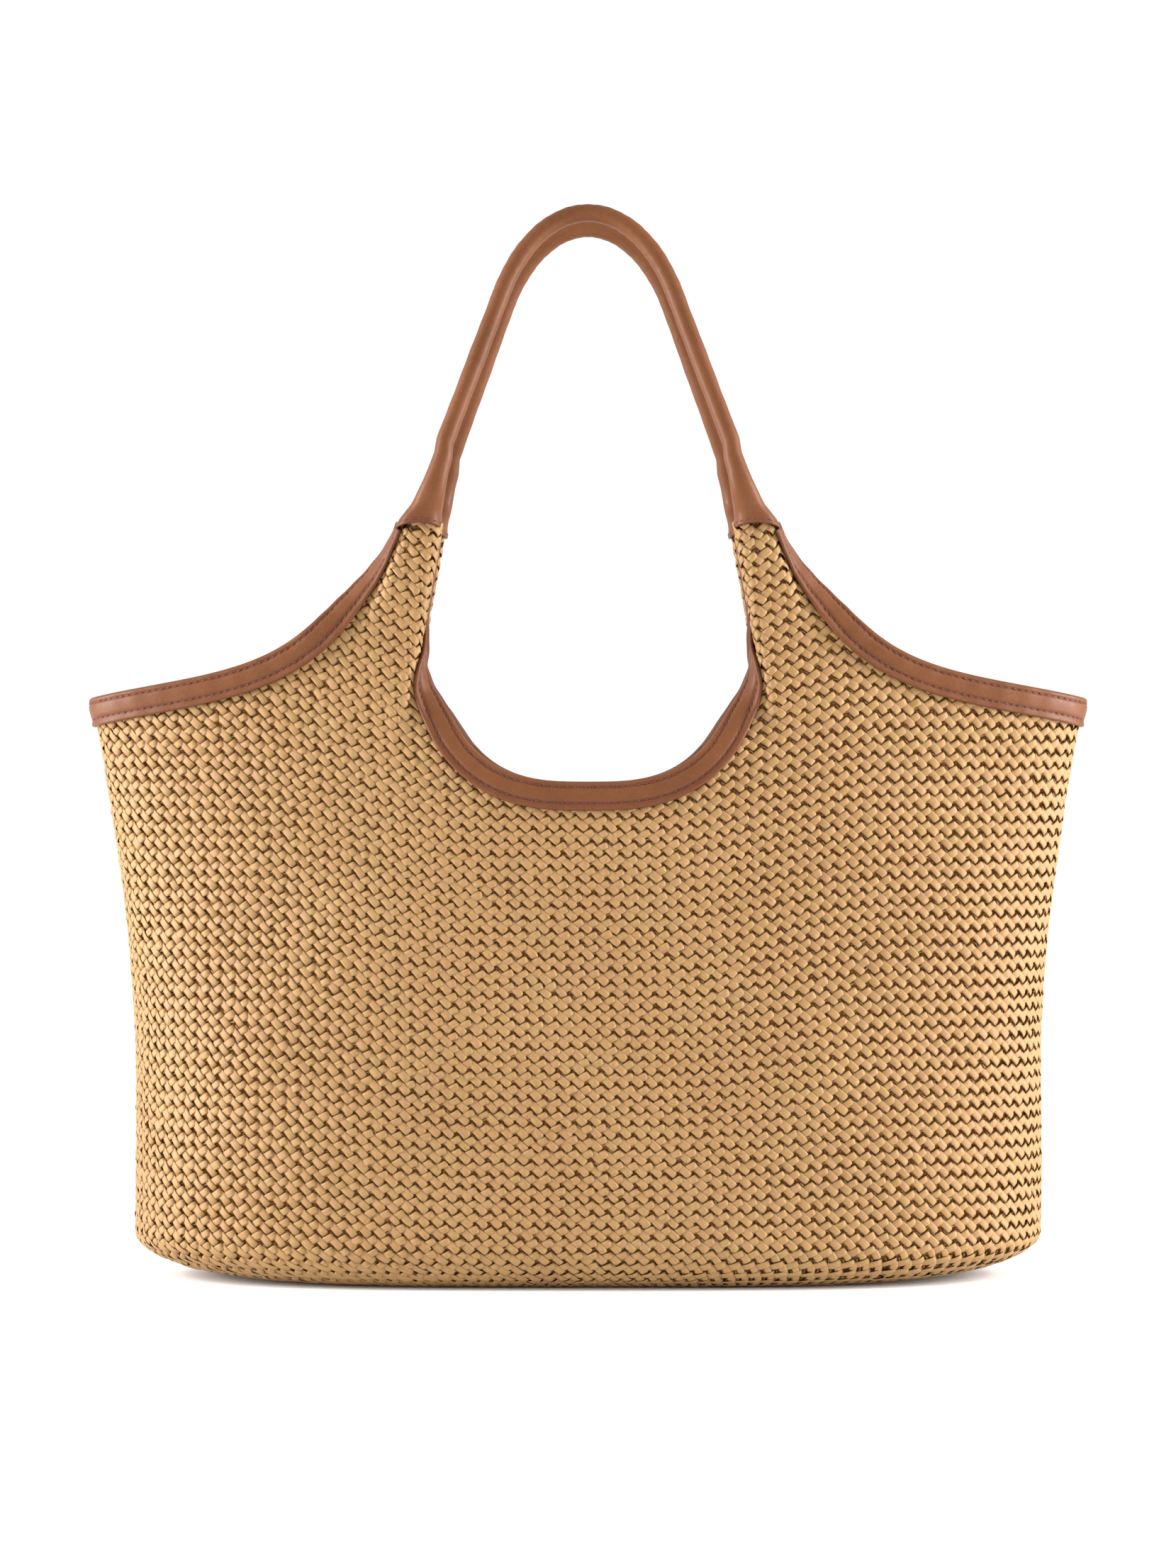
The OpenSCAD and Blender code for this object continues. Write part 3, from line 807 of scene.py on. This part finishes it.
def lining_piece(name, turn, node):
    """Half the lining: cloth that hangs in small folds, which fade towards the rim."""
    a, m, top = half_grid(turn, 70)
    fold = CREASE_SHARE * (CREASE_MEAN + creases(a, m))
    fold = fold * (1 - RIM_FLAT * ramp(m / top, 0.93, 1))
    fold = fold * (1 - ramp(m, 330, 380))
    outer, inner = [inside(a, m, LINING_DEPTH + fold + t)[0] for t in (0, CLOTH_T)]
    obj = keep(closed_sheet(name, outer, inner), lining, "bag", node)


straw_ground("front_straw_ground", 0, "front_panel")
straw_ground("back_straw_ground", 180, "back_panel")
lining_piece("front_lining_cloth", 0, "front_lining")
lining_piece("back_lining_cloth", 180, "back_lining")


def base_lining():
    """The cloth over the base board, slightly uneven."""
    share = np.linspace(0.02, 1, 24)[:, None]
    turn = np.radians(np.linspace(0, 360, 121))[None, :]
    w, d = BASE_W - 2, BASE_FLAT_D - 2
    x = w * share * np.sign(np.cos(turn)) * np.abs(np.cos(turn)) ** 0.6
    y = d * share * np.sign(np.sin(turn)) * np.abs(np.sin(turn)) ** 0.6
    z = BASE_CLOTH_Z + 0.35 * np.sin(0.09 * x + 1) * np.cos(0.13 * y)
    z = z + 0.25 * np.sin(0.21 * x - 0.11 * y)
    outer = np.stack([x, y, z], axis=-1)
    inner = outer - np.array([0, 0, CLOTH_T])
    obj = keep(closed_sheet("base_lining_cloth", outer, inner), lining, "bag", "base_lining")


base_lining()

# --- Leather bindings -------------------------------------------------------------------
# Distance from the rim into the panel, height above the straw, and painted shade (in the stitch
# grooves and under the lip) with darker folded edges
FACE = [(12.2, 0.15, 1.0), (12.7, 0.6, 0.9), (12.75, 1.3, 0.55), (12.4, 1.9, 0.25),
        (11.8, 2.2, 0.1), (11.1, 2.15, 0.1), (10.4, 1.75, 0.35), (9.7, 1.7, 0.15),
        (9.3, 1.4, 0.6), (8.9, 1.25, 0.8), (8.5, 1.4, 0.6), (8.1, 1.75, 0.1), (6.6, 1.95, 0.0),
        (5.0, 2.05, 0.0), (3.4, 2.05, 0.0), (1.9, 1.95, 0.0), (1.3, 1.7, 0.15), (0.9, 1.4, 0.6),
        (0.5, 1.25, 0.8), (0.1, 1.4, 0.6), (-0.3, 1.65, 0.15), (-1.2, 1.6, 0.0), (-2.0, 1.1, 0.0),
        (-2.5, 0.3, 0.15), (-2.7, -1.0, 0.3), (-2.75, -2.6, 0.3), (-2.7, -4.2, 0.3),
        (-2.4, -5.6, 0.15), (-1.9, -6.4, 0.0), (-1.0, -6.9, 0.1), (0.1, -6.6, 0.6),
        (0.5, -6.5, 0.8), (0.9, -6.6, 0.6), (1.6, -7.0, 0.1), (4.5, -7.2, 0.0), (7.6, -7.0, 0.1),
        (8.5, -6.6, 0.6), (8.9, -6.5, 0.8), (9.3, -6.6, 0.6), (10.2, -7.0, 0.1), (11.8, -7.0, 0.2),
        (12.4, -6.4, 0.9), (12.3, -5.6, 1.0)]
HIDDEN = [(11.9, -5.45, 0), (6.0, -5.45, 0), (-0.6, -5.45, 0), (-0.9, -2.6, 0), (-0.6, 0.05, 0),
          (6.0, 0.05, 0), (11.9, 0.05, 0)]
RIPPLE = 0.12  # height of the small waves along the face of a binding
BINDING_STEP = 2.0

STITCH_ROWS = (0.5, 8.9)  # distances of the two rows from the rim, and depths of their threads
SEW_FRONT = -1.3
SEW_BACK = 6.5
STITCH_PITCH = 4.0
STITCH_L = 2.9
STITCH_START = 0.12  # share of the pitch before a stitch, and the spread of its place
STITCH_JITTER = 0.08
THREAD_R = 0.34
THREAD_SIDES = 6
# Along a stitch: share of its length, height above the leather and share of THREAD_R
STITCH_AT = np.array([0, 0.12, 0.35, 0.65, 0.88, 1])
STITCH_RISE = np.array([-0.65, -0.1, 0.16, 0.16, -0.1, -0.65])
STITCH_SIZE = np.array([0.6, 0.95, 1, 1, 0.95, 0.6])


def sweep(name, rings, shade):
    """A closed leather solid from rings of points, an even number in each."""
    shade = np.broadcast_to(shade, rings.shape[:2]).ravel()
    return mesh_object(name, rings.reshape(-1, 3), tube_quads(*rings.shape[:2]), shade=shade)


def binding(name, line_of, turn, node):
    section = np.array(FACE + HIDDEN)
    angle, m = line_of(BINDING_STEP)
    rings, normals = rim_points((angle + turn, m), section[:, 0][None], -section[:, 1][None])
    ripple = RIPPLE * np.sin(np.arange(len(angle)) * 0.9) * np.clip(section[:, 1], 0, 1)[:, None]
    obj = sweep(name, rings + normals * ripple.T[..., None], section[:, 2])
    keep(obj, leather, "bag", node)


def stitches(name, paths):
    """Short threads along lines of points with normals, one piece for all of them."""
    ring = np.radians(np.arange(THREAD_SIDES) * 360 / THREAD_SIDES)
    each = len(STITCH_AT) * THREAD_SIDES
    one = tube_quads(len(STITCH_AT), THREAD_SIDES)
    parts = []
    r = np.random.default_rng(5)
    for points, normals in paths:
        run = arc_length(points)
        count = int(run[-1] / STITCH_PITCH)
        start = (np.arange(count) + STITCH_START) * run[-1] / count
        start = start + r.normal(0, STITCH_JITTER, count)
        at = start[:, None] + STITCH_AT * STITCH_L
        line = np.stack([np.interp(at, run, points[:, k]) for k in range(3)], axis=-1)
        norm = unit(np.stack([np.interp(at, run, normals[:, k]) for k in range(3)], axis=-1))
        line = line + norm * STITCH_RISE[None, :, None]
        ahead = unit(np.gradient(line, axis=1))
        side = unit(np.cross(norm, ahead))
        size = THREAD_R * STITCH_SIZE[:, None]
        tube = (
            line[:, :, None]
            + side[:, :, None] * (size * np.cos(ring))[None, ..., None]
            + norm[:, :, None] * (size * np.sin(ring))[None, ..., None]
        )
        quads = (one[None] + np.arange(count)[:, None, None] * each).reshape(-1, 4)
        parts.append((tube.reshape(-1, 3), quads, np.zeros((count * each, 1))))
    points, quads, _ = joined(parts)
    obj = mesh_object(name, points, quads)
    obj.data.materials.append(thread)
    return obj


def rim_stitches(name, line_of, turn, node):
    angle, m = line_of(1.0)
    w = np.array(STITCH_ROWS + STITCH_ROWS)[None]
    depth = np.array([SEW_FRONT, SEW_FRONT, SEW_BACK, SEW_BACK])[None]
    points, normals = rim_points((angle + turn, m), w, depth)
    normals = normals * np.array([1, 1, -1, -1])[None, :, None]
    obj = stitches(name, [(points[:, k], normals[:, k]) for k in range(4)])
    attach(obj, "bag")
    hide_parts(node)


for label, line_of, turn in (("right_rim", side_line, 0), ("left_rim", side_line, 180),
                             ("front_dip", dip_line, 0), ("back_dip", dip_line, 180)):
    binding(f"{label}_leather", line_of, turn, f"{label}_binding")
    rim_stitches(f"{label}_stitches", line_of, turn, f"{label}_binding")

# --- Handles ----------------------------------------------------------------------------
HANDLE_H = 566.8  # middle of the tube at the top of its elliptical arch
ARC_W = 54.0
ARC_DROP = 95.0
ARC_STEPS = 40
LEG_LEAN = math.radians(20)
HANDLE_LEAN = math.radians(10)
TUBE_R = 4.75
CUFF_X = 89.2
CREST_Y = TIP_D * math.sqrt(1 - (CUFF_X / RIM_W) ** 2)
LEG_Y = CREST_Y + 3.9
PIVOT_Y = CREST_Y + 5.2
PIVOT_Z = TIP_H + 16.6
ARC_Z = HANDLE_H - ARC_DROP
ARC_END = math.atan(ARC_W / ARC_DROP / math.tan(LEG_LEAN))
LEG_TOP = ARC_Z + ARC_DROP * math.cos(ARC_END)
CUFF_LOW = 396.5
TUBE_LOW = CUFF_LOW + 46
ROPE_LOW = CUFF_LOW + 56
LEAN_LOW = CUFF_LOW + 6  # the lean sets in between these heights
LEAN_HIGH = CUFF_LOW + 30

# Height, middle x and y, half width and half depth of the cuff and neck, and how square
CUFF = [
    (CUFF_LOW + 3.8, 88.7, 41.4, 10.4, 11.8, 3.4), (CUFF_LOW + 0.6, 88.8, 41.3, 10.9, 12.3, 3.4),
    (CUFF_LOW, 88.8, 41.2, 11.5, 13.2, 3.4), (CUFF_LOW + 0.4, 88.8, 41.2, 12.0, 13.7, 3.4),
    (CUFF_LOW + 1.4, 88.7, 41.2, 12.1, 13.8, 3.3), (CUFF_LOW + 2.3, 88.6, 41.3, 11.8, 13.5, 3.2),
    (CUFF_LOW + 3.2, 88.4, 41.4, 11.6, 13.4, 3.1), (CUFF_LOW + 4.4, 88.1, 41.8, 11.3, 13.2, 3.0),
    (CUFF_LOW + 6.4, 87.3, 43.0, 10.5, 12.2, 2.8), (CUFF_LOW + 9.0, 86.0, 44.9, 9.5, 10.6, 2.6),
    (CUFF_LOW + 12.0, 84.4, 47.4, 8.4, 8.6, 2.4), (CUFF_LOW + 15.5, 83.0, 50.2, 7.7, 6.8, 2.3),
    (CUFF_LOW + 19.5, 81.6, 52.5, 7.0, 5.6, 2.2), (CUFF_LOW + 24.0, 80.1, 54.1, 6.2, 5.1, 2.1),
    (CUFF_LOW + 30.0, 78.3, 54.7, 5.5, 4.9, 2.0), (CUFF_LOW + 38.0, 75.8, 54.8, 5.1, 4.8, 2.0),
]
CUFF_SHADES = [1.0, 1.0, 0.9, 0.5, 0.1, 0.1]  # painted shade on the first rings, round the hem where the cuff meets the straw, with a darker edge
CUFF_STITCHES = 5  # the ring that the stitches follow
CUFF_ARCH = 2.4  # how much higher the hem is at the middle, up to the neck
ARCH_TOP = CUFF_LOW + 5
RING = 32  # points in each ring
SEAM_DEPTH = 0.05  # the groove of the tube's seam, as a share of its radius, and its width
SEAM_W = 9

ROPE_LAY = 24  # length of one turn of the rope, radius of its strands and their distance out
STRAND_R = 1.45
STRAND_OUT = 1.5
STRAND_SIDES = 8


def leg_x(z):
    """Middle of a leg at a height, below the arc."""
    return ARC_W * math.sin(ARC_END) + (LEG_TOP - z) * math.tan(LEG_LEAN)


def tube_line(low):
    """Middle x and height of the right half of the tube, and its lean, up to the top."""
    line = [(leg_x(z), z, LEG_LEAN) for z in np.arange(low, LEG_TOP, 4.0)]
    for a in np.linspace(ARC_END, 0, ARC_STEPS):
        lean = math.atan2(ARC_W * math.cos(a), ARC_DROP * math.sin(a))
        line.append((ARC_W * math.sin(a), ARC_Z + ARC_DROP * math.cos(a), lean))
    return line


def handle_rings():
    """Rings from the right cuff's edge up to the top, then mirrored down to the left cuff."""
    turn = np.radians(np.arange(RING) * 360 / RING)
    rings = []
    for z, x, y, hw, hd, square in CUFF:
        sx = np.sign(np.cos(turn)) * np.abs(np.cos(turn)) ** (2 / square)
        sy = np.sign(np.sin(turn)) * np.abs(np.sin(turn)) ** (2 / square)
        tilt = LEG_LEAN * min(1, max(0, (z - LEAN_LOW) / 30))
        arch = CUFF_ARCH * (1 - sx**2) * min(1, max(0, 1 - (z - ARCH_TOP) / 8))
        rings.append(np.stack([x + hw * sx * math.cos(tilt), -y + hd * sy,
                               z + arch + hw * sx * math.sin(tilt)], axis=-1))
    for k, (x, z, lean) in enumerate(tube_line(TUBE_LOW)):
        seam = 1 - SEAM_DEPTH * np.exp(-((np.degrees(turn) - 180) / SEAM_W) ** 2)
        wave = 0.08 * math.sin(1.7 * k) + 0.06 * math.sin(0.6 * k + 1)
        r = (TUBE_R + wave) * seam
        rings.append(np.stack([x + r * np.cos(turn) * math.cos(lean), -LEG_Y + r * np.sin(turn),
                               z + r * np.cos(turn) * math.sin(lean)], axis=-1))
    shades = CUFF_SHADES + [0.0] * (len(rings) - len(CUFF_SHADES))
    right = np.array(rings)
    left = right[-2::-1] * np.array([-1, 1, 1])
    return np.concatenate([right, left]), np.concatenate([shades, shades[-2::-1]])


def leaned(points):
    """Turned with the handle's lean, the more the higher above the cuff."""
    p = points.reshape(-1, 3).copy()
    a = HANDLE_LEAN * ramp(p[:, 2], LEAN_LOW, LEAN_HIGH)
    dy, dz = p[:, 1] + PIVOT_Y, p[:, 2] - PIVOT_Z
    p[:, 1] = -PIVOT_Y + dy * np.cos(a) + dz * np.sin(a)
    p[:, 2] = PIVOT_Z - dy * np.sin(a) + dz * np.cos(a)
    return p.reshape(points.shape)


def turned(points, back):
    """Points of the front, or the same ones half round the bag for the back."""
    return points * np.array([-1, -1, 1]) if back else points


def handle(side, back):
    rings, shades = handle_rings()
    rings = leaned(rings)
    obj = sweep(f"{side}_handle_leather", turned(rings, back), shades[:, None])
    obj.data.materials.append(leather)
    paths = []
    for row in (rings[CUFF_STITCHES], rings[-1 - CUFF_STITCHES]):
        row = np.concatenate([row, row[:1]])
        out = row - row.mean(axis=0)
        out[:, 2] = 0
        paths.append((turned(row, back), turned(unit(out), back)))
    thread_obj = stitches(f"{side}_cuff_stitches", paths)
    for piece in (obj, thread_obj):
        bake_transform(piece)
        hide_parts(f"{side}_handle_sleeve", f"{side}_left_tab", f"{side}_right_tab")


def core(side, back):
    """The rope inside a handle: three strands laid round each other."""
    line = tube_line(ROPE_LOW)
    line = line + [(-x, z, math.pi - lean) for x, z, lean in line[-2::-1]]
    turn = np.radians(np.arange(STRAND_SIDES) * 360 / STRAND_SIDES)
    twist = np.cumsum([0] + [math.hypot(b[0] - a[0], b[1] - a[1]) for a, b in zip(line, line[1:])])
    parts = []
    for strand in range(3):
        phase = twist / ROPE_LAY * 2 * math.pi + strand * 2 * math.pi / 3
        rings = []
        for (x, z, lean), p in zip(line, phase):
            u = STRAND_OUT * math.cos(p) + STRAND_R * np.cos(turn)
            v = STRAND_OUT * math.sin(p) + STRAND_R * np.sin(turn)
            rings.append(np.stack([x + u * math.cos(lean), -LEG_Y + v, z + u * math.sin(lean)], -1))
        points = turned(leaned(np.array(rings)), back).reshape(-1, 3)
        parts.append((points, tube_quads(len(rings), STRAND_SIDES), np.zeros((len(points), 1))))
    points, quads, _ = joined(parts)
    keep(mesh_object(f"{side}_handle_rope", points, quads), rope, f"{side}_handle",
         f"{side}_handle_core")


handle("front", False)
handle("back", True)
core("front", False)
core("back", True)

# --- Fittings ---------------------------------------------------------------------------
for name, material in (("front_snap_stud", brass), ("back_snap_socket", brass),
                       ("zip_coil", brass), ("zip_slider", brass), ("zip_pull", brass),
                       ("base_board", board)):
    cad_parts[name].data.materials.clear()
    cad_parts[name].data.materials.append(material)

SNAP_H = 227.0
PATCH_GAP = 0.5
PATCH_STITCH_R = 13.4
PATCH_STITCH_Z = 0.95
# Radius and height of a snap's leather disc, which has a crown and a turned edge
PATCH = [(0.02, 1.2), (7.5, 1.2), (9.5, 1.15), (12.4, 1.1), (13.0, 0.95), (13.4, 0.85),
         (13.8, 0.95), (14.6, 1.05), (15.6, 0.8), (16.0, 0.4), (15.7, 0.05), (0.02, 0.02)]


def wall_slope(z):
    """How far the wall leans inwards at the middle of the bag, round a height."""
    return math.atan(float(half_d(np.array(z - 10)) - half_d(np.array(z + 10))) / 20)


def snap_place(p, back):
    """Points of a disc, laid on the lining: its local z points into the bag."""
    slope = wall_slope(SNAP_H)
    y = -float(half_d(np.array(SNAP_H))) + (WALL_T + PATCH_GAP) / math.cos(slope)
    tilt = -math.pi / 2 - slope
    q = np.stack([p[..., 0], p[..., 1] * math.cos(tilt) - p[..., 2] * math.sin(tilt),
                  p[..., 1] * math.sin(tilt) + p[..., 2] * math.cos(tilt)], axis=-1)
    return turned(q + np.array([0, y, SNAP_H]), back)


def patch(side, back):
    turn = np.radians(np.arange(0, 360, 6))
    r, z = np.array(PATCH).T
    local = np.stack([r[None] * np.cos(turn)[:, None], r[None] * np.sin(turn)[:, None],
                      z[None] + 0 * turn[:, None]], axis=-1)
    n, cols = local.shape[:2]
    ring = strip_quads(n + 1, cols, True) % (n * cols)
    obj = mesh_object(f"{side}_snap_leather", snap_place(local, back).reshape(-1, 3), ring)
    keep(obj, leather, "bag", f"{side}_snap_patch")
    circle = np.radians(np.arange(0, 361, 5))
    row = np.stack([PATCH_STITCH_R * np.cos(circle), PATCH_STITCH_R * np.sin(circle),
                    PATCH_STITCH_Z + 0 * circle], axis=-1)
    line = snap_place(row, back)
    above = snap_place(row + np.array([0, 0, 1]), back)
    sewn = stitches(f"{side}_snap_stitches", [(line, above - line)])
    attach(sewn, "bag")
    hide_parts(f"{side}_snap_patch")


patch("front", False)
patch("back", True)

# --- The pocket and the tape of its zip -------------------------------------------------
ZIP_L = 170.0
ZIP_H = 200.0
ZIP_W = 26.0
TAPE_T = 0.6
TAPE_GAP = 3.4
TAPE_LIFT = 0.8
POCKET_LOW = 70.0
POCKET_TOP = ZIP_H - ZIP_W / 2 - 2
POCKET_DEPTH = WALL_T + 1.9
HEM_T = 0.5


def pocket():
    """Cloth that hangs a little away from the lining, pushed further in along its lower hem."""
    half = math.degrees(math.asin(ZIP_L / 2 / BODY_W))
    off = np.linspace(-half, half, 60)[None, :]
    m = np.linspace(POCKET_LOW, POCKET_TOP, 44)[:, None]
    hang = 0.35 * np.sin(0.3 * off) + 0.3 * np.sin(0.9 * off + 0.06 * m)
    hem = HEM_T * (np.exp(-(((m - POCKET_LOW - 4) / 2.5) ** 2)) + 0 * off)
    depth = POCKET_DEPTH + hang * np.sin((m - POCKET_LOW) / 115 * math.pi) + hem
    outer, inner = [inside(180 + off + 0 * m, m + 0 * off, depth + t)[0] for t in (0, CLOTH_T)]
    obj = keep(closed_sheet("pocket_cloth", outer, inner), lining, "bag", "pocket_panel")


def zip_tape():
    slope = wall_slope(ZIP_H)
    y = float(half_d(np.array(ZIP_H))) - WALL_T - TAPE_GAP - TAPE_LIFT
    u = np.linspace(-ZIP_L / 2, ZIP_L / 2, 86)[None, :]
    v = np.linspace(ZIP_W / 2, -ZIP_W / 2, 15)[:, None]
    lift = 0.12 * np.sin(0.11 * u + 0.2 * v) * np.abs(v) / 13 + 0.1
    outer = np.stack(np.broadcast_arrays(u, y + lift - v * math.sin(slope),
                                         ZIP_H + v * math.cos(slope)), axis=-1)
    inner = outer + np.array([0, TAPE_T, 0])
    obj = keep(closed_sheet("zip_tape_cloth", outer, inner), tape, "bag", "zip_tape")


pocket()
zip_tape()

# --- Studio, in metres ------------------------------------------------------------------
FLOOR_SIZE = 30
WORLD_LIGHT = 0.85
BOX_PLACE = (2.0, -0.3, 0.6)  # a soft light on either side, and the point that it faces
BOX_AIM = (0.1, 0, 0.3)
BOX_SIZE = (0.5, 1.6)
BOX_POWER = 78
CAMERA_PLACE = (0, -2.1, 0.2623)
VIEW_HEIGHT = math.radians(22.65)
EXPOSURE = 0.33

bpy.ops.mesh.primitive_plane_add(size=FLOOR_SIZE)
floor = bpy.context.object
floor.name = "floor"
floor.data.materials.append(Net("floor", FLOOR, 0.7).mat)

world = bpy.data.worlds.new("studio")
world.use_nodes = True
world.node_tree.nodes["Background"].inputs[0].default_value = (1, 1, 1, 1)
world.node_tree.nodes["Background"].inputs[1].default_value = WORLD_LIGHT
bpy.context.scene.world = world


def soft_box(name, side):
    place, aim = [Vector((side * x, y, z)) for x, y, z in (BOX_PLACE, BOX_AIM)]
    light = bpy.data.lights.new(name, "AREA")
    light.shape = "RECTANGLE"
    light.size, light.size_y = BOX_SIZE
    light.energy = BOX_POWER
    obj = bpy.data.objects.new(name, light)
    obj.location = place
    obj.rotation_euler = (aim - place).to_track_quat("-Z", "Y").to_euler()
    bpy.context.scene.collection.objects.link(obj)


soft_box("left_box", -1)
soft_box("right_box", 1)

camera = bpy.data.cameras.new("camera")
camera.sensor_fit = "VERTICAL"
camera.angle_y = VIEW_HEIGHT
camera.clip_end = 100
eye = bpy.data.objects.new("camera", camera)
eye.location = CAMERA_PLACE
eye.rotation_euler = (math.pi / 2, 0, 0)
bpy.context.scene.collection.objects.link(eye)
bpy.context.scene.camera = eye

bpy.context.scene.view_settings.view_transform = "Standard"
bpy.context.scene.view_settings.exposure = EXPOSURE
